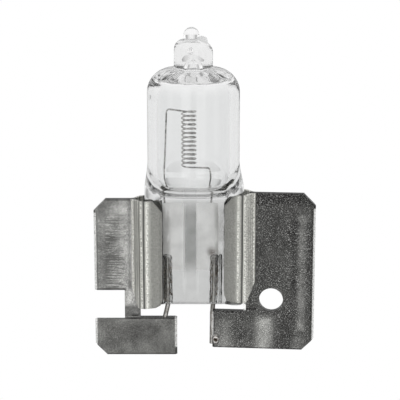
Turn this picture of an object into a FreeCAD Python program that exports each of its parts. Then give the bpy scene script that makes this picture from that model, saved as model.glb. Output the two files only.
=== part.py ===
"""Twin-blade halogen bulb: a quartz tube with a pinched end, gripped by two folded contact blades.

Frame: +Z runs up along the bulb, +X towards the wider blade, and the blades' front faces look along -Y.
The origin is on the bulb's axis, level with the lower edge of the left blade's foot. Millimetres.
"""
import FreeCAD, Part
import math
import os

import Sketcher
from FreeCAD import Placement, Rotation, Vector

# Driving dimensions: alias, value, meaning.
SIZES = [
    ("tube_radius", 6.0, "outer radius of the quartz tube"),
    ("tube_wall", 1.2, "thickness of the tube's wall and dome"),
    ("tube_foot", 26.4, "height where the round tube ends and the shoulder starts"),
    ("dome_top", 38.8, "height of the dome's flat top"),
    ("dome_round", 3.1, "radius of the dome's outer corner"),
    ("shoulder_foot", 21.3, "height where the shoulder has become the flat pinch"),
    ("chamber_foot", 23.1, "height of the lowest point of the gas chamber"),
    ("pinch_foot", 7.15, "height of the pinch's lower end"),
    ("pinch_centre", 0.1, "the pinch's sideways offset from the axis"),
    ("pinch_half", 6.55, "half of the pinch's width"),
    ("web_half", 0.8, "half of the thickness between the pinch's two ribs"),
    ("rib_half", 1.42, "half of the thickness of the pinch's ribs"),
    ("recess_low", 11.8, "lower end of the recess between the foils"),
    ("recess_high", 21.0, "upper end of the recess"),
    ("recess_centre", -0.46, "sideways place of the recess"),
    ("recess_width", 1.75, "width of the recess"),
    ("recess_depth", 0.2, "depth of the recess"),
    ("bore_radius", 1.0, "inner radius of the exhaust tube"),
    ("bore_top", 41.0, "height where the exhaust tube's bore has closed"),
    ("stub_radius", 2.5, "outer radius of the exhaust tube"),
    ("stub_top", 42.2, "height of the exhaust tube's melted shoulder"),
    ("stub_round", 1.5, "radius of that shoulder"),
    ("ball_radius", 1.03, "radius of the sealed ball on the exhaust tube"),
    ("ball_height", 43.05, "height of the ball's centre"),
    ("ball_across", -0.25, "the ball's sideways offset"),
    ("coil_across", -0.6, "sideways place of the coil's axis"),
    ("coil_radius", 0.9, "radius of the coil at the middle of its wire"),
    ("coil_low", 26.0, "height of the coil's lower end"),
    ("coil_pitch", 0.565, "height of one turn"),
    ("coil_turns", 13, "number of turns"),
    ("filament_radius", 0.11, "radius of the filament wire"),
    ("sleeve_radius", 0.19, "outer radius of the overwind on the legs"),
    ("foil_thickness", 0.05, "thickness of the sealing foils"),
    ("foil_width", 2.8, "width of the foils"),
    ("left_foil_centre", -2.8, "sideways place of the left foil"),
    ("right_foil_centre", 1.85, "sideways place of the right foil"),
    ("foil_low", 11.8, "lower end of the foils"),
    ("foil_high", 21.0, "upper end of the foils"),
    ("lead_radius", 0.32, "radius of the outer leads"),
    ("sheet_thickness", 0.42, "thickness of the blades' sheet, which is folded double"),
    ("blade_height", 21.5, "height of a blade"),
    ("blade_chamfer", 1.6, "size of the blade's cut corners"),
    ("foot_height", 5.2, "height of a blade's foot"),
    ("gusset_height", 2.1, "height of the flat corner below the ramp, from the clamp's lower edge"),
    ("gusset_step", 0.3, "how far the clamp's ramp is kept from the slit's end"),
    ("gusset_gap", 0.05, "clearance between that corner and the clamp's lower edge"),
    ("crease_low", 5.45, "lower edge of the crease beside the slit, above the foot's lower edge"),
    ("crease_high", 6.0, "upper edge of that crease"),
    ("crease_end", 8.3, "where the crease ends"),
    ("clamp_low", 6.9, "height of the clamp's lower edge above the foot's lower edge"),
    ("clamp_tip_across", 4.15, "where the clamp's flap ends"),
    ("clamp_apex_across", 6.86, "where the clamp's flap and ramp would meet"),
    ("clamp_apex_out", 2.2, "how far that meeting point stands out"),
    ("clamp_tip_out", 1.27, "how far the flap's end stands out"),
    ("clamp_bend_across", 8.05, "where the ramp meets the flat blade"),
    ("clamp_round", 1.13, "outer radius of the clamp's ridge"),
    ("bend_round", 0.7, "radius in the corner between ramp and blade"),
    ("edge_round", 0.4, "radius of the fold along a blade's upright ends"),
    ("flap_cut_across", 1.3, "width of the flap's cut upper corner"),
    ("flap_cut_down", 1.6, "height of the flap's cut upper corner"),
    ("flap_round", 0.9, "radius of the flap's lower corner"),
    ("left_outer", 13.2, "distance from the axis to the left blade's outer edge"),
    ("left_inner", 2.2, "distance from the axis to the left foot's inner end"),
    ("left_slit_end", 7.1, "where the left slit ends"),
    ("left_rise", 0.0, "height of the left foot's lower edge"),
    ("left_shift", 0.0, "sideways shift of the left clamp, outwards"),
    ("left_yaw", 0.0, "turn of the left blade's outer side to the front, in degrees"),
    ("right_outer", 16.1, "distance from the axis to the right blade's outer edge"),
    ("right_inner", 2.5, "distance from the axis to the right foot's inner end"),
    ("right_slit_end", 6.7, "where the right slit ends"),
    ("right_rise", 0.85, "height of the right foot's lower edge"),
    ("right_shift", -0.1, "sideways shift of the right clamp, outwards"),
    ("right_yaw", 5.0, "turn of the right blade's outer side to the front, in degrees"),
    ("notch_low", 4.9, "lower edge of the left blade's notch"),
    ("notch_high", 9.05, "upper edge of the left blade's notch"),
    ("notch_end", 9.2, "distance from the axis to the notch's end"),
    ("hole_radius", 1.6, "radius of the right blade's locating hole"),
    ("hole_across", 10.35, "the hole's distance from the axis"),
    ("hole_height", 7.75, "height of the hole's centre"),
    ("weld_across", 2.95, "sideways place of the weld nugget"),
    ("weld_half", 0.5, "half of the weld nugget's width"),
    ("weld_height", 1.95, "height of the weld nugget's centre"),
]

# Centre lines of the bent wires, as (x, y, z).
LONG_LEG = [(-0.6, -0.9, 33.345), (-3.5, -0.25, 33.6), (-3.94, 0.0, 23.4), (-3.75, 0.15, 20.2)]
SHORT_LEG = [(-0.6, -0.9, 26.0), (2.12, -0.25, 25.8), (2.42, 0.0, 23.3), (2.3, 0.15, 20.2)]
LEFT_LEAD = [(-3.5, 0.0, 13.5), (-3.42, 0.0, 7.0), (-4.25, 0.0, 3.4)]
RIGHT_LEAD = [(2.75, 0.0, 13.5), (2.68, 0.06, 7.9), (2.5, 0.72, 5.6), (2.45, 0.72, 1.2)]
LEG_BEND = 0.45
LEAD_BEND = 1.6
SLEEVE_SPANS = {"long_leg_sleeve": (-3.94, 22.9, 24.0), "short_leg_sleeve": (2.37, 22.9, 24.5)}

doc = FreeCAD.newDocument("twin_blade_bulb")


def fill_sheet():
    """The spreadsheet that drives every sub-part."""
    cells = doc.addObject("Spreadsheet::Sheet", "Sizes")
    for row, (alias, value, meaning) in enumerate(SIZES, start=1):
        cells.set(f"A{row}", alias)
        cells.set(f"B{row}", str(value))
        cells.set(f"C{row}", meaning)
        cells.setAlias(f"B{row}", alias)
    doc.recompute()
    return cells


sizes = fill_sheet()


def size(alias):
    """One dimension's value, for shapes that are worked out in code."""
    return float(sizes.get(alias))


def bind(thing, **expressions):
    """Ties properties to spreadsheet cells; each expression names its aliases in braces."""
    for name, expression in expressions.items():
        thing.setExpression(name, linked(expression))


def linked(expression):
    """Puts the sheet's name before each {alias}."""
    return expression.replace("{", "Sizes.").replace("}", "")


def value_of(thing, expression):
    """The number that a linked expression gives now."""
    result = thing.evalExpression(linked(expression))
    return float(getattr(result, "Value", result))


def outline(body, name, role, corners):
    """A closed sketch of straight edges whose corners are pairs of expressions."""
    sketch = body.newObject("Sketcher::SketchObject", name)
    plane = next(item for item in body.Origin.OriginFeatures if item.Role == role)
    sketch.AttachmentSupport = [(plane, "")]
    sketch.MapMode = "FlatFace"
    places = [Vector(value_of(sketch, across), value_of(sketch, up), 0) for across, up in corners]
    count = len(places)
    for index, place in enumerate(places):
        sketch.addGeometry(Part.LineSegment(place, places[(index + 1) % count]))
    for index in range(count):
        sketch.addConstraint(Sketcher.Constraint("Coincident", index, 2, (index + 1) % count, 1))
    for index, (across, up) in enumerate(corners):
        for kind, expression, now in (("DistanceX", across, places[index].x),
                                      ("DistanceY", up, places[index].y)):
            number = sketch.addConstraint(Sketcher.Constraint(kind, -1, 1, index, 1, now))
            sketch.setExpression(f"Constraints[{number}]", linked(expression))
    return sketch


def round_edges(body, name, radius, chosen):
    """Rounds the edges of the body's tip that a test picks."""
    doc.recompute()
    base = body.Tip
    names = [f"Edge{number}" for number, edge in enumerate(base.Shape.Edges, start=1) if chosen(edge)]
    fillet = body.newObject("PartDesign::Fillet", name)
    fillet.Base = (base, names)
    bind(fillet, Radius=radius)
    return fillet


def is_upright(edge):
    """True for a straight edge along Z."""
    ends = [vertex.Point for vertex in edge.Vertexes]
    return len(ends) == 2 and math.hypot(ends[0].x - ends[1].x, ends[0].y - ends[1].y) < 1e-4


def is_at(edge, across, out, reach=0.02):
    """True where an upright edge stands at the given place in plan, front or back."""
    place = edge.Vertexes[0].Point
    return abs(place.x - across) < reach and abs(abs(place.y) - out) < reach


def primitive(kind, name, place=(0, 0, 0), **expressions):
    """A Part primitive with bound sizes."""
    thing = doc.addObject(kind, name)
    bind(thing, **expressions)
    thing.Placement = Placement(Vector(*place), Rotation())
    return thing


def fused(name, pieces):
    """One solid from several."""
    thing = doc.addObject("Part::MultiFuse", name)
    thing.Shapes = pieces
    return thing


def cut(name, base, tool):
    """What is left of the base outside the tool."""
    thing = doc.addObject("Part::Cut", name)
    thing.Base = base
    thing.Tool = tool
    return thing


def finished(thing, label):
    """Names a finished sub-part; the label names its file."""
    thing.Label = label
    sub_parts.append(thing)
    return thing


sub_parts = []


# Wires -----------------------------------------------------------------------------------------

def bent_path(points, radius):
    """A wire of straight runs joined by tangent arcs."""
    places = [Vector(*point) for point in points]
    edges = []
    start = places[0]
    for before, corner, after in zip(places, places[1:], places[2:]):
        arriving = (corner - before).normalize()
        leaving = (after - corner).normalize()
        turn = arriving.getAngle(leaving)
        setback = radius * math.tan(turn / 2)
        arc_start = corner - arriving * setback
        arc_end = corner + leaving * setback
        inward = (leaving - arriving).normalize()
        bulge = radius / math.cos(turn / 2) - radius
        edges.append(Part.LineSegment(start, arc_start).toShape())
        edges.append(Part.Arc(arc_start, corner + inward * bulge, arc_end).toShape())
        start = arc_end
    edges.append(Part.LineSegment(start, places[-1]).toShape())
    return Part.Wire(edges)


def bent_wire(name, points, bend, radius):
    """A round wire along a bent path."""
    path = bent_path(points, bend)
    direction = Vector(*points[1]) - Vector(*points[0])
    section = Part.Wire(Part.makeCircle(radius, Vector(*points[0]), direction))
    thing = doc.addObject("Part::Feature", name)
    thing.Shape = path.makePipeShell([section], True, False)
    thing.Placement = Placement()
    return thing


def foil(label):
    """A thin sealing foil, upright in the middle of the pinch."""
    thing = doc.addObject("Part::Box", label)
    bind(thing, Length="{foil_width}", Width="{foil_thickness}", Height="{foil_high} - {foil_low}")
    thing.setExpression("Placement.Base.x", linked("{%s_centre} - {foil_width} / 2" % label))
    thing.setExpression("Placement.Base.y", linked("-{foil_thickness} / 2"))
    thing.setExpression("Placement.Base.z", linked("{foil_low}"))
    return finished(thing, label)


def coil():
    """The filament: a left-handed helix that starts and ends at the front of the coil."""
    pitch = size("coil_pitch")
    radius = size("coil_radius")
    helix = Part.makeHelix(pitch, pitch * size("coil_turns"), radius, 0, True)
    section = Part.Wire(Part.makeCircle(size("filament_radius"), Vector(radius, 0, 0), Vector(0, -1, 0)))
    thing = doc.addObject("Part::Feature", "filament_coil")
    thing.Shape = Part.Wire(helix.Edges).makePipeShell([section], True, True)
    thing.Placement = Placement(Vector(size("coil_across"), 0, size("coil_low")), Rotation(Vector(0, 0, 1), -90))
    return finished(thing, "filament_coil")


def sleeve(label, leg):
    """The overwind: a short tube round a leg, where it enters the quartz."""
    across, low, high = SLEEVE_SPANS[label]
    tube = primitive("Part::Cylinder", f"{label}_outside", (across, 0, low), Radius="{sleeve_radius}")
    tube.Height = high - low
    return finished(cut(f"{label}_cut", tube, leg), label)


def legs_and_leads():
    """Everything that the quartz is melted round."""
    left_foil = foil("left_foil")
    right_foil = foil("right_foil")
    wire = size("filament_radius")
    lead = size("lead_radius")
    inner = []
    for label, points, bend, radius, seal in (
            ("filament_long_leg", LONG_LEG, LEG_BEND, wire, left_foil),
            ("filament_short_leg", SHORT_LEG, LEG_BEND, wire, right_foil),
            ("left_outer_lead", LEFT_LEAD, LEAD_BEND, lead, left_foil),
            ("right_outer_lead", RIGHT_LEAD, LEAD_BEND, lead, right_foil)):
        whole = bent_wire(f"{label}_wire", points, bend, radius)
        inner.append((whole, finished(cut(f"{label}_cut", whole, seal), label)))
    sleeves = [sleeve("long_leg_sleeve", inner[0][0]), sleeve("short_leg_sleeve", inner[1][0])]
    solids = [left_foil, right_foil] + [whole for whole, _ in inner] + sleeves
    return solids, inner[2][0], inner[3][0]


# Quartz ----------------------------------------------------------------------------------------

def loft(name, sections):
    """A smooth solid down from a circle through ellipses; each section is (height, half width, half depth)."""
    rings = []
    for number, (height, across, out) in enumerate(sections):
        if across == out:
            ring = doc.addObject("Part::Circle", f"{name}_ring_{number}")
            ring.Radius = across
        else:
            ring = doc.addObject("Part::Ellipse", f"{name}_ring_{number}")
            ring.MajorRadius = across
            ring.MinorRadius = out
        ring.Placement = Placement(Vector(0, 0, height), Rotation())
        rings.append(ring)
    thing = doc.addObject("Part::Loft", name)
    thing.Sections = rings
    thing.Solid = True
    return thing


def domed_cylinder(name, radius, low, high, rounding):
    """A cylinder with a rounded upper rim, as a body."""
    body = doc.addObject("PartDesign::Body", name)
    profile = body.newObject("Sketcher::SketchObject", f"{name}_circle")
    plane = next(item for item in body.Origin.OriginFeatures if item.Role == "XY_Plane")
    profile.AttachmentSupport = [(plane, "")]
    profile.MapMode = "FlatFace"
    profile.addGeometry(Part.Circle(Vector(0, 0, 0), Vector(0, 0, 1), value_of(profile, radius)))
    profile.addConstraint(Sketcher.Constraint("Coincident", 0, 3, -1, 1))
    number = profile.addConstraint(Sketcher.Constraint("Radius", 0, value_of(profile, radius)))
    profile.setExpression(f"Constraints[{number}]", linked(radius))
    pad = body.newObject("PartDesign::Pad", f"{name}_pad")
    pad.Profile = profile
    bind(pad, Length=f"{high} - ({low})")
    body.setExpression("Placement.Base.z", linked(low))
    round_edges(body, f"{name}_rim", rounding, lambda edge: edge.BoundBox.ZMin > 0.1 and edge.isClosed())
    return body


def pinch_blank():
    """The flat pinch: a thin web with a thicker rib along each side."""
    body = doc.addObject("PartDesign::Body", "pinch_blank")
    quarter = [("{pinch_half} - 2.55", "{web_half}"), ("{pinch_half} - 1.4", "{rib_half} - 0.22"),
               ("{pinch_half} - 0.85", "{rib_half}"), ("{pinch_half} - 0.35", "{rib_half}"),
               ("{pinch_half}", "{rib_half} - 0.32")]
    right = quarter + [(across, f"-({out})") for across, out in reversed(quarter)]
    left = [(f"-({across})", f"-({out})") for across, out in right]
    ring = [(f"{across} + {{pinch_centre}}", out) for across, out in right + left]
    profile = outline(body, "pinch_section", "XY_Plane", ring)
    pad = body.newObject("PartDesign::Pad", "pinch_pad")
    pad.Profile = profile
    bind(pad, Length="{shoulder_foot} + 0.2 - {pinch_foot}")
    body.setExpression("Placement.Base.z", linked("{pinch_foot}"))
    return body


def envelope(embedded):
    """Tube, dome, shoulder and pinch, hollow, with room for the metal that is sealed in it."""
    radius = size("tube_radius")
    wall = size("tube_wall")
    foot = size("tube_foot")
    low = size("shoulder_foot")
    drop = foot - low
    tube = domed_cylinder("tube_outside", "{tube_radius}", "{tube_foot}", "{dome_top}", "{dome_round}")
    shoulder = loft("shoulder_outside", [
        (foot, radius, radius), (foot - 0.25 * drop, radius + 0.22, radius - 0.95),
        (foot - 0.6 * drop, radius + 0.42, 0.5 * radius), (low, radius + 0.42, size("rib_half"))])
    chamber = domed_cylinder("tube_inside", "{tube_radius} - {tube_wall}", "{tube_foot}",
                             "{dome_top} - {tube_wall}", "{dome_round} - {tube_wall}")
    inner = radius - wall
    floor = size("chamber_foot")
    depth = foot - floor
    throat = loft("throat_inside", [
        (foot, inner, inner), (foot - 0.4 * depth, inner, inner - 1.0),
        (foot - 0.8 * depth, inner - 0.2, 0.38 * inner), (floor, inner - 0.9, 0.35)])
    bore = primitive("Part::Cylinder", "dome_bore", (0, 0, size("dome_top") - 2 * wall),
                     Radius="{bore_radius}", Height="3 * {tube_wall}")
    recess = primitive("Part::Box", "recess_front", Length="{recess_width}", Width="{web_half}",
                       Height="{recess_high} - {recess_low}")
    recess.Placement = Placement(Vector(size("recess_centre") - size("recess_width") / 2,
                                        size("recess_depth") - 2 * size("web_half"), size("recess_low")), Rotation())
    outside = fused("envelope_outside", [tube, shoulder, pinch_blank()])
    inside = fused("envelope_inside", [chamber, throat, bore, recess] + embedded)
    return finished(cut("envelope_cut", outside, inside), "quartz_envelope")


def exhaust_tip():
    """The tube that was fused to the dome, pulled off to a neck and sealed in a ball."""
    stub = domed_cylinder("stub_outside", "{stub_radius}", "{dome_top}", "{stub_top}", "{stub_round}")
    across = size("ball_across")
    neck = primitive("Part::Cone", "tip_neck", (across, 0, size("stub_top") - 0.4),
                     Radius1="{ball_radius} * 1.1", Radius2="{ball_radius} * 0.6", Height="0.7")
    ball = primitive("Part::Sphere", "tip_ball", (across, 0, size("ball_height")), Radius="{ball_radius}")
    bore = primitive("Part::Cone", "tip_bore", (0, 0, size("dome_top") - 0.1), Radius1="{bore_radius}",
                     Radius2="0.15", Height="{bore_top} - {dome_top} + 0.1")
    whole = fused("tip_outside", [stub, neck, ball])
    return finished(cut("tip_cut", whole, bore), "exhaust_tip")


# Blades ----------------------------------------------------------------------------------------

def clamp_shell(body, name, sign, shift):
    """The open ridge that grips the pinch's rib, front and back, as a shell of one sheet's thickness."""
    front = [("{clamp_tip_across}", "{clamp_tip_out}"), ("{clamp_apex_across}", "{clamp_apex_out}"),
             ("{clamp_bend_across}", "{sheet_thickness}")]
    loop = front + [(across, f"-{out}") for across, out in reversed(front)]
    corners = [(f"{sign} * ({across} + {shift})", out) for across, out in loop]
    pad = body.newObject("PartDesign::Pad", f"{name}_ridge")
    pad.Profile = outline(body, f"{name}_ridge_section", "XY_Plane", corners)
    bind(pad, Length="{blade_height} - {clamp_low}")
    apex = sign * (size("clamp_apex_across") + value_of(body, shift))
    round_edges(body, f"{name}_ridge_round", "{clamp_round}",
                lambda edge: is_upright(edge) and is_at(edge, apex, size("clamp_apex_out")))
    doc.recompute()
    mouth = sign * (size("clamp_tip_across") + value_of(body, shift))
    base = body.Tip
    opened = [f"Face{number}" for number, face in enumerate(base.Shape.Faces, start=1)
              if abs(face.CenterOfMass.x - mouth) < 0.01 or abs(face.normalAt(0, 0).z) > 0.9]
    shell = body.newObject("PartDesign::Thickness", f"{name}_shell")
    shell.Base = (base, opened)
    bind(shell, Value="{sheet_thickness}")
    shell.Reversed = True
    shell.Join = 1
    return shell


def flat_blade(body, name, sign, side):
    """The doubled sheet: side panel, neck and foot in one outline."""
    top = "{blade_height}"
    bend = f"({{clamp_bend_across}} + {{{side}_shift}} - {{sheet_thickness}} / 2)"
    outer = f"{{{side}_outer}}"
    inner = f"{{{side}_inner}}"
    slit_end = f"{{{side}_slit_end}}"
    cut_size = "{blade_chamfer}"
    corners = [
        (bend, top), (f"{outer} - {cut_size}", top), (outer, f"{top} - {cut_size}"),
        (outer, cut_size), (f"{outer} - {cut_size}", "0"), (inner, "0"), (inner, "{foot_height}"),
        (slit_end, "{foot_height}"), (slit_end, "{clamp_low} - {gusset_gap}"),
        (f"{slit_end} + {{gusset_step}}", "{clamp_low} - {gusset_gap}"),
        (bend, "{clamp_low} + 0.5 * {gusset_height}")]
    profile = outline(body, f"{name}_front", "XZ_Plane",
                      [(f"{sign} * ({across})", f"{up} - {{clamp_low}}") for across, up in corners])
    hinge = sign * (size("clamp_bend_across") + size(f"{side}_shift"))
    turn = Rotation(Vector(0, 1, 0), -sign * size(f"{side}_yaw"))
    pivot = Vector(hinge, 0, 0)
    profile.AttachmentOffset = Placement(pivot - turn.multVec(pivot), turn)
    pad = body.newObject("PartDesign::Pad", f"{name}_plate")
    pad.Profile = profile
    bind(pad, Length="2 * {sheet_thickness}")
    pad.SideType = "Symmetric"
    return pad


def pocket_through(body, name, corners):
    """Cuts an outline right through, front to back."""
    doc.recompute()
    before = body.Shape.Volume
    pocket = body.newObject("PartDesign::Pocket", name)
    pocket.Profile = outline(body, f"{name}_outline", "XZ_Plane", corners)
    pocket.Type = "ThroughAll"
    pocket.SideType = "Symmetric"
    doc.recompute()
    if not body.Shape.Volume < before:
        raise RuntimeError(f"{name} removed nothing")
    return pocket


def blade(side, sign, lead):
    """One contact blade. Heights in its sketches count from the clamp's lower edge."""
    name = f"{side}_blade"
    shift = f"{{{side}_shift}}"
    body = doc.addObject("PartDesign::Body", f"{name}_body")
    body.setExpression("Placement.Base.z", linked(f"{{{side}_rise}} + {{clamp_low}}"))
    clamp_shell(body, name, sign, shift)
    bend_line = f"{{clamp_bend_across}} + {shift}"
    gusset = [(f"{{{side}_slit_end}} + {{gusset_step}}", "-0.5"), (f"{bend_line} + 1", "-0.5"),
              (f"{bend_line} + 1", "{gusset_height} + 1"), (f"{bend_line} + 0.02", "{gusset_height}"),
              (f"{{{side}_slit_end}} + {{gusset_step}}", "0")]
    pocket_through(body, f"{name}_gusset", [(f"{sign} * ({across})", up) for across, up in gusset])
    flat_blade(body, name, sign, side)
    tip = f"{{clamp_tip_across}} + {shift}"
    top = "{blade_height} - {clamp_low}"
    upper = [(f"{tip} - 0.5", f"{top} - {{flap_cut_down}}"), (tip, f"{top} - {{flap_cut_down}}"),
             (f"{tip} + {{flap_cut_across}}", top), (f"{tip} + {{flap_cut_across}}", f"{top} + 0.5"),
             (f"{tip} - 0.5", f"{top} + 0.5")]
    lower = [(f"{tip} - 0.5", "-0.5"), (f"{tip} + {{flap_round}}", "-0.5"), (f"{tip} + {{flap_round}}", "0.001"),
             (f"{tip} + 0.3 * {{flap_round}}", "0.3 * {flap_round}"), (tip, "{flap_round}"),
             (f"{tip} - 0.5", "{flap_round}")]
    for label, corners in (("upper", upper), ("lower", lower)):
        pocket_through(body, f"{name}_{label}_corner", [(f"{sign} * ({across})", up) for across, up in corners])
    if side == "left":
        notch = [("{notch_end}", "{notch_low}"), ("{left_outer} + 1", "{notch_low}"),
                 ("{left_outer} + 1", "{notch_high}"), ("{notch_end}", "{notch_high}")]
        pocket_through(body, "left_notch", [(f"{sign} * ({across})", f"{up} - {{clamp_low}}")
                                            for across, up in notch])
    bend = sign * (size("clamp_bend_across") + size(f"{side}_shift"))
    thickness = size("sheet_thickness")
    round_edges(body, f"{name}_bend_round", "{bend_round}",
                lambda edge: is_upright(edge) and edge.Length > 8 and is_at(edge, bend, thickness, 0.06))
    reach = size(f"{side}_outer") - 0.3
    inner = size(f"{side}_inner") + 0.3
    round_edges(body, f"{name}_fold_round", "{edge_round}",
                lambda edge: is_upright(edge) and (sign * edge.Vertexes[0].X > reach
                                                   or sign * edge.Vertexes[0].X < inner))
    tools = [lead, crease(side, sign)]
    if side == "right":
        tools.append(locating_drill())
    return finished(cut(f"{name}_cut", body, fused(f"{name}_tools", tools)), name)


def crease(side, sign):
    """The tool for the shallow crease in the front layer, in line with the slit under the clamp."""
    low = size("crease_low") + size(f"{side}_rise")
    near = size(f"{side}_slit_end") + size("gusset_step")
    box = doc.addObject("Part::Box", f"{side}_crease")
    bind(box, Length=f"{{crease_end}} - {{{side}_slit_end}} - {{gusset_step}}", Width="{sheet_thickness}",
         Height="{crease_high} - {crease_low}")
    start = near if sign > 0 else -size("crease_end")
    box.Placement = Placement(Vector(start, -1.25 * size("sheet_thickness"), low), Rotation())
    return box


def locating_drill():
    """The round hole's tool, square to the turned blade."""
    drill = doc.addObject("Part::Cylinder", "locating_drill")
    bind(drill, Radius="{hole_radius}", Height="6")
    yaw = size("right_yaw")
    hinge = size("clamp_bend_across") + size("right_shift")
    reach = (size("hole_across") - hinge) * math.tan(math.radians(yaw))
    square = Rotation(Vector(0, 0, 1), -yaw).multiply(Rotation(Vector(1, 0, 0), 90))
    centre = Vector(size("hole_across"), -reach, size("hole_height"))
    drill.Placement = Placement(centre - square.multVec(Vector(0, 0, 3)), square)
    return drill


def weld(blade_part, lead_wire):
    """The flat nugget on the foot's front that joins the right lead to its inner end."""
    nugget = primitive("Part::Ellipsoid", "weld_nugget", (size("weld_across"), 0.02, size("weld_height")),
                       Radius1="{weld_half} * 1.45", Radius2="{weld_half}", Radius3="{weld_half} / 2")
    metal = fused("weld_room", [blade_part, lead_wire])
    return finished(cut("weld_cut", nugget, metal), "right_lead_weld")


# Build -----------------------------------------------------------------------------------------

def check(thing):
    """Stops the script if an object failed to build."""
    if "Invalid" in thing.State or "Error" in thing.State:
        raise RuntimeError(f"{thing.Name} is in state {thing.State}")


def main():
    coil()
    embedded, left_lead, right_lead = legs_and_leads()
    envelope(embedded)
    exhaust_tip()
    blade("left", -1, left_lead)
    right = blade("right", 1, right_lead)
    weld(right, right_lead)
    doc.recompute()
    for thing in doc.Objects:
        check(thing)
    os.makedirs("parts", exist_ok=True)
    for thing in sub_parts:
        shape = thing.Shape
        if shape.isNull() or not shape.isValid():
            raise RuntimeError(f"{thing.Label} has a bad shape")
        shape.exportStep(f"parts/{thing.Label}.step")
        print(thing.Label, len(shape.Solids), round(shape.Volume, 3))


main()
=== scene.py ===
"""Looks of the twin-blade halogen bulb: quartz, filament, foils, leads and plated contact blades."""

import math

import bmesh
import bpy
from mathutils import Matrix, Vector, noise


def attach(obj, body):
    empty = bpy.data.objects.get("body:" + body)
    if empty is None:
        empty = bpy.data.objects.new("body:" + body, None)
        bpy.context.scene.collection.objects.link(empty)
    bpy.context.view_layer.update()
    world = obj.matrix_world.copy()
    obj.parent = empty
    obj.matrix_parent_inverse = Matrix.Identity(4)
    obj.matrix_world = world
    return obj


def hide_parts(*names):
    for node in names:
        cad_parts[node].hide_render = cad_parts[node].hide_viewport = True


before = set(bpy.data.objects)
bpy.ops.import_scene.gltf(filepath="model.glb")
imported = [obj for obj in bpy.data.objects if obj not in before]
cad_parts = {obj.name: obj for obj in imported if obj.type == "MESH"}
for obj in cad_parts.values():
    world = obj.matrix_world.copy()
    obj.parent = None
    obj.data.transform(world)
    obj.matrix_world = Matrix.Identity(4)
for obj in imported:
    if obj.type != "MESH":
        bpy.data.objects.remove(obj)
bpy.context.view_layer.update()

MM = 0.001
BODY = "root"


# Node helpers ----------------------------------------------------------------------------------

class Graph:
    """A small builder for shader nodes: every method returns an output socket."""

    def __init__(self, tree):
        self.tree = tree
        self.tree.nodes.clear()

    def node(self, kind, settings=None, **inputs):
        made = self.tree.nodes.new(kind)
        for name, value in (settings or {}).items():
            setattr(made, name, value)
        for name, value in inputs.items():
            self.feed(made, name.replace("_", " "), value)
        return made

    def feed(self, node, name, value):
        """Sets or links an input, found by its name or its number."""
        socket = node.inputs[int(name)] if name.isdigit() else node.inputs[name]
        if isinstance(value, bpy.types.NodeSocket):
            self.tree.links.new(value, socket)
        else:
            socket.default_value = value

    def math(self, operation, first, second=0.0, clamp=False):
        made = self.tree.nodes.new("ShaderNodeMath")
        made.operation = operation
        made.use_clamp = clamp
        for index, value in enumerate((first, second)):
            self.feed(made, str(index), value)
        return made.outputs[0]

    def ramp(self, factor, stops, smooth=True):
        """A colour ramp; stops are (position, grey or colour)."""
        made = self.tree.nodes.new("ShaderNodeValToRGB")
        made.color_ramp.interpolation = "EASE" if smooth else "LINEAR"
        elements = made.color_ramp.elements
        while len(elements) > 1:
            elements.remove(elements[-1])
        for index, (position, colour) in enumerate(stops):
            element = elements[0] if index == 0 else elements.new(position)
            element.position = position
            element.color = tint(colour)
        self.feed(made, "Fac", factor)
        return made.outputs["Color"]

    def mix(self, factor, first, second, blend="MIX"):
        """Mixes two colours."""
        made = self.tree.nodes.new("ShaderNodeMix")
        made.data_type = "RGBA"
        made.blend_type = blend
        self.feed(made, "0", factor)
        for index, value in ((6, first), (7, second)):
            self.feed(made, str(index), value if isinstance(value, bpy.types.NodeSocket) else tint(value))
        return made.outputs[2]

    def place(self, scale=(1, 1, 1)):
        """Object coordinates in millimetres, stretched by a scale."""
        coordinates = self.tree.nodes.new("ShaderNodeTexCoord")
        made = self.node("ShaderNodeMapping", {"vector_type": "POINT"}, Vector=coordinates.outputs["Object"])
        made.inputs["Scale"].default_value = [factor / MM for factor in scale]
        return made.outputs[0]

    def noise(self, size, detail=3.0, roughness=0.55, stretch=(1, 1, 1)):
        """Noise whose features are about `size` millimetres."""
        made = self.node("ShaderNodeTexNoise", Vector=self.place([factor / size for factor in stretch]),
                         Scale=1.0, Detail=detail, Roughness=roughness)
        return made.outputs["Fac"]

    def noise_between(self, size, low, high):
        """Soft noise spread between two values."""
        return self.math("ADD", self.math("MULTIPLY", self.noise(size, detail=1.0), high - low), low)

    def step(self, value, start, end):
        """0 at start and 1 at end, smooth between; start may be the larger."""
        settings = {"interpolation_type": "SMOOTHSTEP", "clamp": True}
        made = self.node("ShaderNodeMapRange", settings, Value=value)
        flipped = start > end
        for name, number in (("From Min", min(start, end)), ("From Max", max(start, end)),
                             ("To Min", 1.0 if flipped else 0.0), ("To Max", 0.0 if flipped else 1.0)):
            made.inputs[name].default_value = number
        return made.outputs[0]

    def step_even(self, value, low, high):
        """The straight share of the way from low to high."""
        made = self.node("ShaderNodeMapRange", {"clamp": True}, Value=value)
        made.inputs["From Min"].default_value = low
        made.inputs["From Max"].default_value = high
        return made.outputs[0]

    def band(self, value, low, high, soft):
        """1 between low and high, 0 outside, with soft edges."""
        return self.math("MULTIPLY", self.step(value, low - soft, low + soft),
                         self.step(value, high + soft, high - soft))

    def axis(self, letter):
        """One object coordinate in millimetres."""
        split = self.node("ShaderNodeSeparateXYZ", Vector=self.place())
        return split.outputs[letter]

    def bump(self, height, distance, strength=1.0):
        """A bump of so many millimetres."""
        made = self.node("ShaderNodeBump", Height=height, Distance=distance * MM, Strength=strength)
        return made.outputs[0]

    def finish(self, shader, kind="ShaderNodeOutputMaterial"):
        self.tree.links.new(shader, self.tree.nodes.new(kind).inputs["Surface"])


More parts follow.
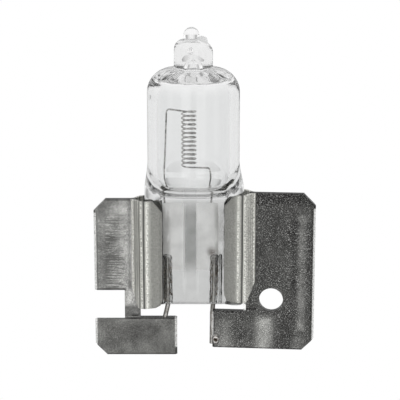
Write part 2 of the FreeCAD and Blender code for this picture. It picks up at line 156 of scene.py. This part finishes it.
def tint(value):
    """A grey or a colour as RGBA."""
    if isinstance(value, (int, float)):
        return (value, value, value, 1.0)
    return tuple(value) if len(value) == 4 else (*value, 1.0)


def new_material(name):
    material = bpy.data.materials.new(name)
    material.use_nodes = True
    return material, Graph(material.node_tree)


# Materials -------------------------------------------------------------------------------------

# Places in millimetres. A pair is where a change starts and ends, or the two ends of a stretch, and WELD_PIT
# is a point.
MELTED = (22.6, 20.8)
CROWN = (35.6, 37.0)
RECESS = -0.46
FOOT_TOP = (5.9, 4.6)
SHEET_FACE = (0.44, 0.5)
CLAMPS = (-8.3, 8.2)
CLAMP_FOOT = (6.5, 6.8)
STROKES = (8.2, 19.4)
WELD_PIT = (2.95, -0.45, 1.95)

# The tone of the pool under the chamber: painted shade.
SHADE_POOL_TONE = (0.6, 0.6, 0.595)

def quartz():
    """Fused quartz: clear with a faint waviness in the tube, pressed and greyer in the pinch.

    The greys of the recess, the pool under the chamber, the darker sides of the pinch and its darker back
    face are painted shade by place, for light that the pressed glass bends away. The burnt cloud stands in
    for soot, and the clearer crown is painted light.
    """
    material, graph = new_material("fused_quartz")
    across, out, height = (graph.axis(letter) for letter in "XYZ")
    pressed = graph.math("MULTIPLY", graph.step(height, *MELTED), graph.noise_between(1.6, 0.75, 1.0))
    waves = graph.noise(2.4, detail=1.0, stretch=(1, 1, 0.45))
    marks = graph.noise(0.9, detail=3.0, stretch=(1, 1, 0.5))
    # The recess between the foils is darkened: painted shade.
    between = graph.math("MULTIPLY", graph.band(across, RECESS - 0.9, RECESS + 0.88, 0.06),
                         graph.band(height, 11.8, 20.6, 1.4))
    recess_shade = graph.math("MULTIPLY", between, graph.noise_between(2.0, 0.6, 1.0))
    cloud = graph.math("MULTIPLY", graph.band(across, 1.9, 3.0, 0.5), graph.band(height, 13.8, 14.8, 0.5))
    burnt = graph.math("MULTIPLY", cloud, graph.step(graph.noise(0.4), 0.36, 0.5))
    # A darker pool on the shoulders under the chamber: painted shade.
    shade_pool = graph.math("MULTIPLY", graph.band(height, 22.6, 23.7, 0.35),
                      graph.step(graph.math("ABSOLUTE", across), 4.6, 3.6))
    shade_pool_noise = graph.noise(0.7, detail=2.0, stretch=(0.3, 1, 1))
    shade_pool = graph.math("MULTIPLY", shade_pool, graph.step(shade_pool_noise, 0.35, 0.6))
    # The sides of the pinch carry a flow relief and are darkened: painted shade.
    side = graph.step(graph.math("ABSOLUTE", graph.math("ADD", across, 0.15)), 2.6, 3.3)
    side_flow_and_shade = graph.math("MULTIPLY", graph.band(height, 12.2, 20.4, 0.7), side)
    side_shade = graph.math("MULTIPLY", side_flow_and_shade, graph.step(graph.noise(0.7, stretch=(1, 1, 0.3)), 0.3, 0.55))

    # In the pinch the quartz is tinted grey, much darker on its back face than on its front: painted shade.
    back = graph.mix(pressed, (0.91, 0.915, 0.915), (0.36, 0.365, 0.36))
    back = graph.mix(recess_shade, back, (0.07, 0.075, 0.07))
    back = graph.mix(shade_pool, back, SHADE_POOL_TONE)
    front = graph.mix(pressed, (0.92, 0.925, 0.925), (0.83, 0.835, 0.83))
    front = graph.mix(recess_shade, front, (0.68, 0.68, 0.67))
    front = graph.mix(shade_pool, front, SHADE_POOL_TONE)
    front = graph.mix(side_shade, front, (0.45, 0.45, 0.44))
    front = graph.mix(burnt, front, (0.16, 0.14, 0.13))
    tone = graph.mix(graph.step(out, -0.2, 0.2), front, back)
    # Tinted clearer at the crown, which lightens the dome: painted light.
    tone = graph.mix(graph.step(height, *CROWN), tone, (0.99, 0.99, 0.99))

    melted = graph.math("MULTIPLY", marks, graph.math("ADD", pressed, graph.math("MULTIPLY", side_flow_and_shade, 7.0)))
    relief = graph.math("ADD", waves, melted)
    shader = graph.node("ShaderNodeBsdfPrincipled", Base_Color=tone, IOR=1.458,
                        Roughness=graph.math("MULTIPLY", pressed, 0.16),
                        Normal=graph.bump(relief, 0.06, 0.3))
    shader.inputs["Transmission Weight"].default_value = 1.0
    graph.finish(shader.outputs[0])
    depth = graph.node("ShaderNodeVolumeAbsorption")
    depth.inputs["Color"].default_value = (0.0, 0.0, 0.0, 1.0)
    depth.inputs["Density"].default_value = 34.0
    graph.tree.links.new(depth.outputs[0], graph.tree.nodes["Material Output"].inputs["Volume"])
    return material


def plated_sheet(name, flat, foot, clamp, patches, strips, speckle, stroke_span):
    """Nickel-plated sheet: rolled grain, cloudy stains, short scratches, bright folds and bright specks.

    flat and foot are the tones of the side panel and the foot. clamp lists the tones across the clamp as
    (across, tone). Each patch is (across low, across high, height low, height high, softness, factor), and
    each strip, a bright fold, is (across low, across high, height low, height high). Places are in
    millimetres. The clamp's lines are painted reflections and the strips painted highlights: they stand in
    for what rounded folds reflect. The bright specks are painted glints, and some patches are painted light
    or shade.
    """
    material, graph = new_material(name)
    across, out, height = (graph.axis(letter) for letter in "XYZ")
    cloud = graph.noise(2.4, detail=4.0)
    grain = graph.noise(0.12, detail=2.0, roughness=0.65)
    glint_noise = graph.noise(0.11, detail=1.0)
    tone = graph.mix(graph.step(height, *FOOT_TOP), flat, foot)
    # Each patch scales the tone: stains, and painted light and shade where the lists mark it.
    for low, high, bottom, top, soft, factor in patches:
        area = graph.math("MULTIPLY", graph.band(across, low, high, soft),
                          graph.band(height, bottom, top, soft))
        area = graph.math("MULTIPLY", area, graph.noise_between(1.1, 0.5, 1.3), clamp=True)
        tone = graph.mix(area, tone, graph.mix(1.0, tone, factor, "MULTIPLY"))
    start, end = stroke_span
    reach = graph.math("MULTIPLY", graph.step(across, end, start), 0.15)
    strokes = graph.math("ADD", graph.noise(0.12, detail=1.0, stretch=(0.06, 1, 1)), reach)
    lines = graph.math("MULTIPLY", graph.step(strokes, 0.6, 0.64), graph.band(across, start, end, 0.12))
    lines = graph.math("MULTIPLY", lines, graph.band(height, *STROKES, 1.2))
    tone = graph.mix(graph.math("MULTIPLY", lines, 0.8), tone, graph.mix(1.0, tone, 0.4, "MULTIPLY"))
    stands_out = graph.math("MULTIPLY", graph.step(graph.math("ABSOLUTE", out), *SHEET_FACE),
                            graph.band(across, *CLAMPS, 0.1))
    stands_out = graph.math("MULTIPLY", stands_out, graph.step(height, *CLAMP_FOOT))
    worn = graph.math("ADD", graph.math("MULTIPLY", cloud, 0.5), graph.math("MULTIPLY", grain, 0.5))
    shade = graph.ramp(worn, [(0.3, 0.5), (0.7, 1.45)])
    tone = graph.mix(1.0, tone, shade, "MULTIPLY")
    # Bright specks: painted glints.
    painted_glints = graph.math("MULTIPLY", graph.step(glint_noise, 0.57, 0.66), graph.noise_between(3.0, 0.2, 1.2))
    tone = graph.mix(graph.math("MULTIPLY", painted_glints, speckle, clamp=True), tone, (0.8, 0.8, 0.78))
    sway = graph.math("SUBTRACT", graph.noise(1.6, detail=1.0, stretch=(1, 1, 0.3)), 0.5)
    sway = graph.math("MULTIPLY", sway, 0.12)
    # The clamp's lines: painted reflections of the rounded folds.
    first, last = clamp[0][0], clamp[-1][0]
    place = graph.step_even(graph.math("ADD", across, sway), first, last)
    stops = [((spot - first) / (last - first), level) for spot, level in clamp]
    painted_clamp_lines = graph.ramp(place, stops, smooth=False)
    rolled = graph.ramp(graph.noise(0.16, detail=2.0, stretch=(1, 1, 0.04)), [(0.35, 0.8), (0.65, 1.15)])
    slope = graph.math("MULTIPLY", stands_out, graph.step(graph.math("ABSOLUTE", across), 6.2, 6.7))
    even = graph.ramp(grain, [(0.3, 0.7), (0.7, 1.28)])
    painted_clamp_lines = graph.mix(1.0, painted_clamp_lines, graph.mix(slope, even, rolled), "MULTIPLY")
    painted_clamp_lines = graph.mix(1.0, painted_clamp_lines, (1.0, 1.0, 0.93), "MULTIPLY")
    beads = graph.ramp(graph.noise(0.13, detail=1.0), [(0.4, 0.5), (0.56, 1.2)])
    bright = graph.step(painted_clamp_lines, 0.5, 0.75)
    painted_clamp_lines = graph.mix(bright, painted_clamp_lines, graph.mix(1.0, painted_clamp_lines, beads, "MULTIPLY"))
    tone = graph.mix(stands_out, tone, painted_clamp_lines)
    # The strips: painted highlights along the folds.
    painted_fold_highlight = 0.0
    for low, high, bottom, top in strips:
        area = graph.math("MULTIPLY", graph.band(across, low, high, 0.06),
                          graph.band(height, bottom, top, 0.15))
        painted_fold_highlight = graph.math("MAXIMUM", area, painted_fold_highlight)
    tone = graph.mix(painted_fold_highlight, tone, graph.mix(1.0, (0.95, 0.95, 0.93), beads, "MULTIPLY"))
    rough = graph.math("ADD", graph.math("MULTIPLY", graph.noise(0.5), 0.06), 0.19)
    rough = graph.math("ADD", rough, graph.math("MULTIPLY", stands_out, 0.12))
    relief = graph.math("ADD", grain, graph.math("MULTIPLY", lines, -0.6))
    satin = graph.math("MAXIMUM", stands_out, painted_fold_highlight)
    relief = graph.math("MULTIPLY", relief, graph.math("SUBTRACT", 1.0, graph.math("MULTIPLY", satin, 0.8)))
    shader = graph.node("ShaderNodeBsdfPrincipled", Base_Color=tone, Roughness=rough,
                        Metallic=graph.math("SUBTRACT", 1.0, graph.math("MULTIPLY", satin, 0.5)),
                        Normal=graph.bump(relief, 0.03, 0.9))
    graph.finish(shader.outputs[0])
    return material


def wire_metal(name, dark, light, roughness, size, metallic=1.0):
    """Drawn wire or foil with a slight tone variation."""
    material, graph = new_material(name)
    tone = graph.noise(size, detail=3.0)
    shader = graph.node("ShaderNodeBsdfPrincipled", Base_Color=graph.ramp(tone, [(0.3, dark), (0.7, light)]),
                        Roughness=roughness, Normal=graph.bump(tone, 0.01, 0.4))
    shader.inputs["Metallic"].default_value = metallic
    graph.finish(shader.outputs[0])
    return material


def weld_metal():
    """A weld nugget: a bright molten rim round a burnt pit."""
    material, graph = new_material("burnt_weld")
    offset = graph.node("ShaderNodeVectorMath", {"operation": "DISTANCE"})
    graph.feed(offset, "0", graph.place())
    offset.inputs[1].default_value = WELD_PIT
    away = graph.math("ADD", offset.outputs["Value"], graph.math("MULTIPLY", graph.noise(0.25), 0.3))
    tone = graph.ramp(away, [(0.36, (0.012, 0.01, 0.01)), (0.5, (0.1, 0.08, 0.06)), (0.6, (0.85, 0.83, 0.8)),
                             (0.8, (0.16, 0.15, 0.14)), (0.95, (0.5, 0.49, 0.47))])
    shader = graph.node("ShaderNodeBsdfPrincipled", Base_Color=tone, Roughness=0.35,
                        Normal=graph.bump(graph.noise(0.2), 0.05, 0.8))
    shader.inputs["Metallic"].default_value = 1.0
    graph.finish(shader.outputs[0])
    return material


# Geometry helpers ------------------------------------------------------------------------------

def mesh_object(name, points, faces, material):
    """A smooth mesh piece from millimetre points."""
    mesh = bpy.data.meshes.new(name)
    mesh.from_pydata([Vector(point) * MM for point in points], [], faces)
    mesh.polygons.foreach_set("use_smooth", [True] * len(mesh.polygons))
    mesh.materials.append(material)
    mesh.update()
    piece = bpy.data.objects.new(name, mesh)
    bpy.context.scene.collection.objects.link(piece)
    return piece


def ring_skin(rings, inward=False, first=0):
    """Faces for stacked rings of equal length, closed at both ends by a flat face."""
    count = len(rings[0])
    points = [point for ring in rings for point in ring]
    faces = []
    for row in range(len(rings) - 1):
        low = first + row * count
        for step in range(count):
            after = (step + 1) % count
            faces.append((low + step, low + count + step, low + count + after, low + after))
    top = [first + step for step in range(count)]
    bottom = [first + (len(rings) - 1) * count + step for step in range(count)]
    faces.append(tuple(top))
    faces.append(tuple(reversed(bottom)))
    if inward:
        faces = [tuple(reversed(face)) for face in faces]
    return points, faces


def arc(centre, radius, start, end, steps):
    """Points on an arc in the (radius, height) plane; angles in degrees, 90 is up."""
    made = []
    for step in range(steps + 1):
        angle = math.radians(start + (end - start) * step / steps)
        made.append((centre[0] + radius * math.cos(angle), centre[1] + radius * math.sin(angle)))
    return made


def ease(low, high, value):
    """0 below low, 1 above high, smooth between."""
    share = min(1.0, max(0.0, (value - low) / (high - low)))
    return share * share * (3 - 2 * share)


# Quartz ----------------------------------------------------------------------------------------

RING = 240
TUBE = 6.0
WALL = 1.2
TUBE_FOOT = 26.4
DOME_TOP = 38.8
PINCH_HALF = 6.55
PINCH_CENTRE = 0.1
PINCH_FOOT = 7.15
CHAMBER_FOOT = 23.3

# Each channel: its middle at the top and at the foot, its half width, and the seed of its uneven wall.
LEFT_CHANNEL = (-3.5, -3.43, 0.66, 1)
RIGHT_CHANNEL = (2.75, 2.64, 0.56, 2)
THIN_CHANNEL = (3.58, 3.55, 0.24, 3)


def pinch_out(across, height):
    """Half thickness of the pinch: a thin web with a shallow recess, between two thicker rounded ribs."""
    side = abs(across)
    rib = ease(PINCH_HALF - 2.5, PINCH_HALF - 1.3, side)
    out = 0.8 + 0.62 * rib
    inside = (1 - ease(0.78, 0.98, abs(across - RECESS))) * ease(11.6, 12.0, height)
    inside *= 1 - ease(20.6, 21.2, height)
    end = min(1.0, max(0.0, (side - (PINCH_HALF - 0.9)) / 0.9))
    return (out - 0.2 * inside) * math.sqrt(max(0.0, 1 - end * end))


def outer_ring(height):
    """The outline at a height of the shoulder or pinch: a circle that flattens as it goes down."""
    flat = 1 - ease(21.3, 26.4, height)
    wide = 1 - ease(22.4, 26.8, height)
    half = TUBE + (PINCH_HALF - TUBE) * wide
    ring = []
    for step in range(RING):
        angle = 2 * math.pi * step / RING
        across = half * math.cos(angle)
        round_out = TUBE * abs(math.sin(angle))
        flat_out = pinch_out(across * PINCH_HALF / half, height)
        out = round_out + (flat_out - round_out) * flat ** 1.5
        ring.append((across + PINCH_CENTRE * wide, math.copysign(out, math.sin(angle)), height))
    return ring


def round_ring(radius, height, centre=0.0):
    turns = [2 * math.pi * step / RING for step in range(RING)]
    return [(centre + radius * math.cos(turn), radius * math.sin(turn), height) for turn in turns]


def quartz_body(material):
    """The whole quartz piece: sealed tip, exhaust tube, dome, tube, shoulder and pinch, with its chamber."""
    profile = arc((0, 43.05), 1.03, 88, -24, 14)
    profile += [(0.98, 42.52)]
    profile += arc((0.9, 40.95), 1.6, 80, 0, 9)
    profile += [(2.5, 40.2), (2.5, 39.5)] + arc((2.85, 39.15), 0.35, 180, 270, 5)
    profile += arc((TUBE - 3.1, DOME_TOP - 3.1), 3.1, 88, 0, 18)
    profile += [(TUBE, height) for height in (34.5, 32.5, 30.0, 28.0)]
    outer = []
    for radius, height in profile:
        lean = -0.25 * ease(41.0, 42.6, height)
        outer.append(round_ring(radius, height, lean))
    steps = 40
    outer += [outer_ring(26.8 - (26.8 - 21.0) * step / steps) for step in range(steps + 1)]
    outer += [outer_ring(height) for height in (18.0, 15.0, 12.0, 9.5, 7.5)]
    foot = outer_ring(PINCH_FOOT)
    outer.append([(x, y * 0.96, z + 0.1) for x, y, z in foot])
    outer.append([(x * 0.995, y * 0.8, z) for x, y, z in foot])
    bore = [(0.1, 40.1), (0.5, 39.95), (0.8, 39.4), (0.98, 38.4), (1.02, 37.35)]
    bore += arc((1.14, 37.27), 0.12, 190, 350, 6)
    inner = [round_ring(radius, height) for radius, height in bore]
    ceiling = [(1.45, 37.4), (2.0, 37.44), (3.0, 37.4), (3.8, 37.34)]
    ceiling += arc((TUBE - WALL - 0.4, 36.92), 0.4, 80, 0, 10)
    for radius, height in ceiling + [(TUBE - WALL, 36.0)]:
        inner.append([(radius * math.cos(turn) * (1 + 0.012 * math.sin(3 * turn + 1)),
                       radius * math.sin(turn),
                       height + 0.035 * radius / 4.8 * (math.sin(3 * turn + 0.6) + 0.7 * math.sin(7 * turn)
                                                       + 0.9 * math.sin(13 * turn + 2)))
                      for turn in (2 * math.pi * step / RING for step in range(RING))])
    inner += [round_ring(TUBE - WALL, height) for height in (35.2, 34.0, 31.0, 28.5, TUBE_FOOT)]
    rows = 30
    for row in range(1, rows + 1):
        share = row / rows
        height = TUBE_FOOT - (TUBE_FOOT - CHAMBER_FOOT) * math.sin(share * math.pi / 2)
        depth = (TUBE - WALL) * (1 - share ** 2.5) + 0.05 * share
        half = (TUBE - WALL) * math.sqrt(1 - share ** 3.2) + 0.25 * share
        turns = [2 * math.pi * step / RING for step in range(RING)]
        inner.append([(half * math.cos(turn), depth * math.sin(turn), height) for turn in turns])
    points, faces = ring_skin(outer)
    points = [chipped(point) for point in points]
    for rings in (inner, bubble((-0.3, -0.6, 41.0), 0.3, 0.34), channel(*LEFT_CHANNEL),
                  channel(*RIGHT_CHANNEL), channel(*THIN_CHANNEL)):
        more_points, more_faces = ring_skin(rings, inward=True, first=len(points))
        points += more_points
        faces += more_faces
    return mesh_object("quartz_body", points, faces, material)


def chipped(point):
    """Raises the rough bump where the exhaust tube was snapped off, on the melted shoulder's right."""
    spot = Vector(point)
    away = (spot - Vector((1.15, -0.5, 42.45))).length
    lift = max(0.0, 1 - (away / 0.9) ** 2) ** 1.5
    if lift == 0:
        return point
    push = (spot - Vector((0.3, 0.0, 40.6))).normalized()
    height = lift * (0.6 + 0.4 * noise.noise(spot * 3.1))
    return tuple(spot + push * height)


def bubble(centre, across, up):
    """A round void in the glass, with its half width and half height."""
    rings = []
    for row in range(25):
        angle = math.pi * row / 24
        reach = max(0.01, across * math.sin(angle))
        rings.append([(x + centre[0], y + centre[1], z) for x, y, z in
                      round_ring(reach, centre[2] + up * math.cos(angle))])
    return rings


def channel(top_across, foot_across, half, seed):
    """The bore that a lead leaves in the pinch: a closed hollow with an uneven wall."""
    rings = []
    top, foot, steps = 14.05, PINCH_FOOT + 0.14, 44
    for row in range(steps + 1):
        share = row / steps
        height = top + (foot - top) * share
        cap = math.sqrt(min(1.0, share / 0.07) * (2 - min(1.0, share / 0.07)))
        middle = top_across + (foot_across - top_across) * share
        ring = []
        for step in range(36):
            turn = 2 * math.pi * step / 36
            spot = Vector((math.cos(turn), math.sin(turn), height * 0.9 + 10 * seed))
            wobble = 1 + 0.22 * noise.noise(spot)
            reach = half * max(0.02, cap) * wobble
            ring.append((middle + reach * math.cos(turn), 0.78 * reach * math.sin(turn), height))
        rings.append(ring)
    return rings


def strands(name, top_across, foot_across, half, seed, material):
    """Burnt oxide lines down both sides of a lead's channel."""
    points, faces = [], []
    for strand, side in enumerate((-0.92, -0.5, 0.6, 0.95)):
        rings = []
        for row in range(61):
            share = row / 60
            height = 13.5 - 0.5 * (strand % 2) - (5.9 - 0.4 * strand) * share
            sway = noise.noise(Vector((height * 1.4, strand * 7.3, seed)))
            thick = max(0.015, 0.055 + 0.09 * noise.noise(Vector((height * 2.3, strand * 3.1, seed + 5))))
            middle = top_across + (foot_across - top_across) * share + half * (side * 0.82 + 0.22 * sway)
            out = -0.25 + 0.16 * noise.noise(Vector((height * 1.1, strand, seed + 9)))
            turns = [math.pi * step / 4 for step in range(8)]
            rings.append([(middle + thick * math.cos(turn), out + thick * math.sin(turn), height)
                          for turn in turns])
        more_points, more_faces = ring_skin(rings, first=len(points))
        points += more_points
        faces += more_faces
    piece = mesh_object(name, points, faces, material)
    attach(piece, BODY)


# Stage -----------------------------------------------------------------------------------------

def studio():
    """A white room with soft strips and dark gaps at its sides for metal to reflect.

    What is seen through glass, what lights dull surfaces and what the camera sees directly have levels of
    their own.
    """
    world = bpy.data.worlds.new("studio")
    bpy.context.scene.world = world
    world.use_nodes = True
    graph = Graph(world.node_tree)
    direction = graph.node("ShaderNodeTexCoord").outputs["Generated"]
    split = graph.node("ShaderNodeSeparateXYZ", Vector=direction)
    x, y, z = (split.outputs[letter] for letter in "XYZ")
    forward = graph.math("MULTIPLY", y, -1.0)
    turn = graph.math("DIVIDE", graph.math("ARCTAN2", graph.math("ABSOLUTE", x), forward), math.pi)
    strips = [(0, 0.1), (4, 0.12), (11, 1.5), (26, 1.7), (32, 0.28), (50, 0.2), (56, 0.8), (64, 0.5),
              (70, 0.05), (84, 0.06), (93, 0.42), (122, 0.42), (136, 0.7), (150, 0.7), (166, 0.5), (174, 0.3),
              (180, 0.25)]
    diffuse, backdrop = 1.2, 1.0
    room = graph.ramp(turn, [(angle / 180, level) for angle, level in strips])
    lit = graph.mix(graph.step(z, 0.25, 0.75), room, 1.3)
    lit = graph.mix(graph.step(z, -0.55, -0.9), lit, 0.35)
    through = graph.mix(graph.step(z, 0.6, 0.95), 1.0, 0.88)
    sideways = graph.ramp(graph.math("ABSOLUTE", x),
                          [(0, 0.98), (0.2, 0.84), (0.42, 0.45), (0.53, 0.68), (0.65, 1.2)])
    sideways = graph.mix(graph.step(graph.math("ABSOLUTE", z), 0.3, 0.42), sideways, 0.98)
    through = graph.mix(1.0, through, sideways, "MULTIPLY")
    path = graph.node("ShaderNodeLightPath")
    shown = graph.mix(path.outputs["Is Transmission Ray"], lit, through)
    shown = graph.mix(path.outputs["Is Diffuse Ray"], shown, diffuse)
    shown = graph.mix(path.outputs["Is Camera Ray"], shown, backdrop)
    background = graph.node("ShaderNodeBackground", Color=shown, Strength=1.0)
    graph.finish(background.outputs[0], "ShaderNodeOutputWorld")


def floor():
    """A plain white floor well below the bulb."""
    material, graph = new_material("pale_floor")
    graph.finish(graph.node("ShaderNodeEmission", Color=(1, 1, 1, 1), Strength=1.0).outputs[0])
    size, low = 400, -25
    corners = [(-size, -size, low), (size, -size, low), (size, size, low), (-size, size, low)]
    plane = mesh_object("floor", corners, [(0, 1, 2, 3)], material)
    plane.visible_glossy = False
    plane.visible_diffuse = False


def camera():
    """A long lens, slightly above the bulb."""
    elevation = math.radians(14.0)
    distance = 189.4
    target = Vector((0.85, 0.0, 21.32))
    back = Vector((0, -math.cos(elevation), math.sin(elevation)))
    data = bpy.data.cameras.new("camera")
    data.lens = 129.6
    data.sensor_width = 36
    data.clip_start = 0.01
    made = bpy.data.objects.new("camera", data)
    made.location = (target + back * distance) * MM
    made.rotation_mode = "QUATERNION"
    made.rotation_quaternion = (-back).to_track_quat("-Z", "Y")
    bpy.context.scene.collection.objects.link(made)
    bpy.context.scene.camera = made


def bevelled(node, material):
    """A copy of a blade with softened edges, which stands for the CAD node."""
    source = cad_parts[node]
    shape = bmesh.new()
    shape.from_mesh(source.data)
    bmesh.ops.remove_doubles(shape, verts=shape.verts, dist=0.001 * MM)
    mesh = bpy.data.meshes.new(f"{node}_sheet")
    shape.to_mesh(mesh)
    shape.free()
    piece = bpy.data.objects.new(f"{node}_sheet", mesh)
    bpy.context.scene.collection.objects.link(piece)
    edges = piece.modifiers.new("edges", "BEVEL")
    edges.width = 0.07 * MM
    edges.segments = 2
    edges.limit_method = "ANGLE"
    edges.angle_limit = math.radians(35)
    normals = piece.modifiers.new("normals", "WEIGHTED_NORMAL")
    normals.weight = 80
    normals.keep_sharp = True
    mesh.polygons.foreach_set("use_smooth", [True] * len(mesh.polygons))
    mesh.set_sharp_from_angle(angle=math.radians(50))
    applied = bpy.data.meshes.new_from_object(piece.evaluated_get(bpy.context.evaluated_depsgraph_get()))
    piece.modifiers.clear()
    piece.data = applied
    applied.materials.clear()
    applied.materials.append(material)
    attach(piece, BODY)
    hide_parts(node)


def dress(node, material):
    """Gives a CAD node a better material."""
    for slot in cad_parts[node].material_slots:
        slot.material = material


camera()
studio()
floor()
glass = quartz_body(quartz())
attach(glass, BODY)
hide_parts("quartz_envelope", "exhaust_tip")

# The blades' painted tones, given one by one and not worked out from the folds. plated_sheet says what each
# entry's numbers are.
# Painted reflections across each clamp, as (across, tone).
left_clamp = [
    (-8.3, 0.25), (-8.2, 0.8), (-7.95, 0.95), (-7.8, 0.55), (-7.7, 0.3), (-7.55, 0.7), (-7.42, 0.32),
    (-7.3, 0.7), (-7.18, 0.38), (-7.1, 0.12), (-7.0, 0.7), (-6.8, 0.8), (-6.66, 0.32), (-6.6, 0.05),
    (-6.5, 0.08), (-6.36, 0.45), (-6.1, 0.85), (-5.8, 0.45), (-5.5, 0.31), (-4.6, 0.31), (-4.4, 0.25),
    (-4.2, 0.3)]
right_clamp = [
    (4.0, 0.27), (4.2, 0.26), (5.3, 0.29), (5.65, 0.4), (5.84, 0.85), (6.05, 0.45), (6.2, 0.3), (6.34, 0.08),
    (6.46, 0.06), (6.56, 0.6), (6.8, 0.95), (6.98, 0.6), (7.1, 0.95), (7.22, 0.6), (7.36, 0.95), (7.5, 0.55),
    (7.64, 0.95), (7.78, 0.5), (7.88, 1.0), (8.04, 0.9), (8.14, 0.1)]
left_patches = [
    (-12.66, -11.6, 6.9, 22.0, 0.15, 0.72),   # the panel's outer margin
    (-9.7, -8.7, 6.9, 22.0, 0.35, 1.3),       # the lighter stretch beside the clamp: painted light
    (-8.6, -8.3, 9.0, 22.0, 0.12, 0.75),      # the bend's shade
    (-13.4, -8.0, 20.6, 22.0, 0.4, 0.75),     # the panel's top
    (-12.8, -12.68, 6.9, 20.0, 0.04, 0.35),   # the dark line inside the outer fold: painted shade in the crease
    (-9.0, -4.6, 1.4, 4.4, 0.9, 0.7),         # a stain on the foot
    (-13.4, -2.0, 4.98, 5.25, 0.06, 0.2),     # painted shade along the foot's top edge
    (-13.4, -2.0, -0.1, 0.16, 0.06, 0.35),    # painted shade along the foot's lower edge
    (-13.4, -8.3, 21.32, 21.6, 0.06, 0.3),    # painted shade along the panel's top edge
    (-13.4, -9.0, 9.0, 9.3, 0.06, 0.3),       # painted shade along the panel's lower edge
    (-8.8, -8.1, 7.2, 9.4, 0.4, 1.7),         # the neck: painted shade under the ramp
    (-9.4, -7.0, 5.3, 6.8, 0.25, 0.35)]       # the neck
right_patches = [
    (8.5, 10.3, -1.0, 5.2, 0.8, 4.8),         # a pale stain on the foot
    (13.0, 14.5, 0.4, 2.6, 0.7, 2.4),         # the foot's outer corner
    (13.8, 14.8, 3.5, 19.5, 0.4, 2.8),        # the mottled stretch near the outer side
    (7.0, 16.5, 20.9, 23.0, 0.4, 0.5),        # the panel's top
    (2.2, 6.8, 5.8, 6.1, 0.06, 0.2),          # painted shade along the foot's top edge
    (2.2, 16.5, 0.7, 1.02, 0.06, 0.25),       # painted shade along the lower edge
    (2.9, 4.9, 0.8, 4.6, 0.7, 2.6),           # the paler patch round the weld
    (11.2, 13.0, 1.0, 5.6, 0.5, 0.75),        # a dark stain
    (15.5, 15.65, 2.0, 20.4, 0.05, 0.3)]      # the dark line inside the outer fold: painted shade in the crease
# Painted highlights along the folds, as (across low, across high, height low, height high).
left_strips = [(-13.3, -12.88, 6.9, 19.7), (-13.3, -12.9, 1.0, 5.2), (-2.5, -2.0, 1.0, 5.2)]
right_strips = [(15.78, 16.4, 2.0, 20.4), (2.3, 2.65, 1.9, 5.9), (6.55, 6.95, 6.25, 7.1)]
left_metal = plated_sheet("plated_sheet", (0.37, 0.37, 0.357), (0.195, 0.195, 0.186), left_clamp,
                          left_patches, left_strips, speckle=0.14, stroke_span=(-11.7, -9.2))
# The right blade has the same plating as the left; its much darker tones are painted shade.
right_metal = plated_sheet("plated_sheet_dark", (0.07, 0.07, 0.067), (0.085, 0.085, 0.081), right_clamp,
                           right_patches, right_strips, speckle=0.55, stroke_span=(13.0, 14.8))
tungsten = wire_metal("tungsten", (0.03, 0.03, 0.028), (0.8, 0.79, 0.77), 0.12, 0.22)
oxide = wire_metal("lead_oxide", (0.05, 0.04, 0.03), (0.4, 0.35, 0.29), 0.7, 0.25, metallic=0.2)
foil_metal = wire_metal("molybdenum_foil", (0.82, 0.82, 0.81), (0.97, 0.97, 0.96), 0.4, 2.2)
lead_metal = wire_metal("molybdenum_wire", (0.3, 0.285, 0.26), (0.62, 0.61, 0.59), 0.35, 0.5)
burnt = weld_metal()
for node, material in {
        "filament_coil": tungsten,
        "filament_long_leg": tungsten, "filament_short_leg": tungsten, "long_leg_sleeve": tungsten,
        "short_leg_sleeve": tungsten, "left_foil": foil_metal, "right_foil": foil_metal,
        "left_outer_lead": lead_metal, "right_outer_lead": lead_metal, "right_lead_weld": burnt}.items():
    dress(node, material)

bevelled("left_blade", left_metal)
bevelled("right_blade", right_metal)
strands("left_channel_oxide", *LEFT_CHANNEL, oxide)
strands("right_channel_oxide", *RIGHT_CHANNEL, oxide)

light_paths = bpy.context.scene.cycles
light_paths.max_bounces = 32
light_paths.glossy_bounces = 16
light_paths.transmission_bounces = 24
view = bpy.context.scene.view_settings
view.view_transform = "Standard"
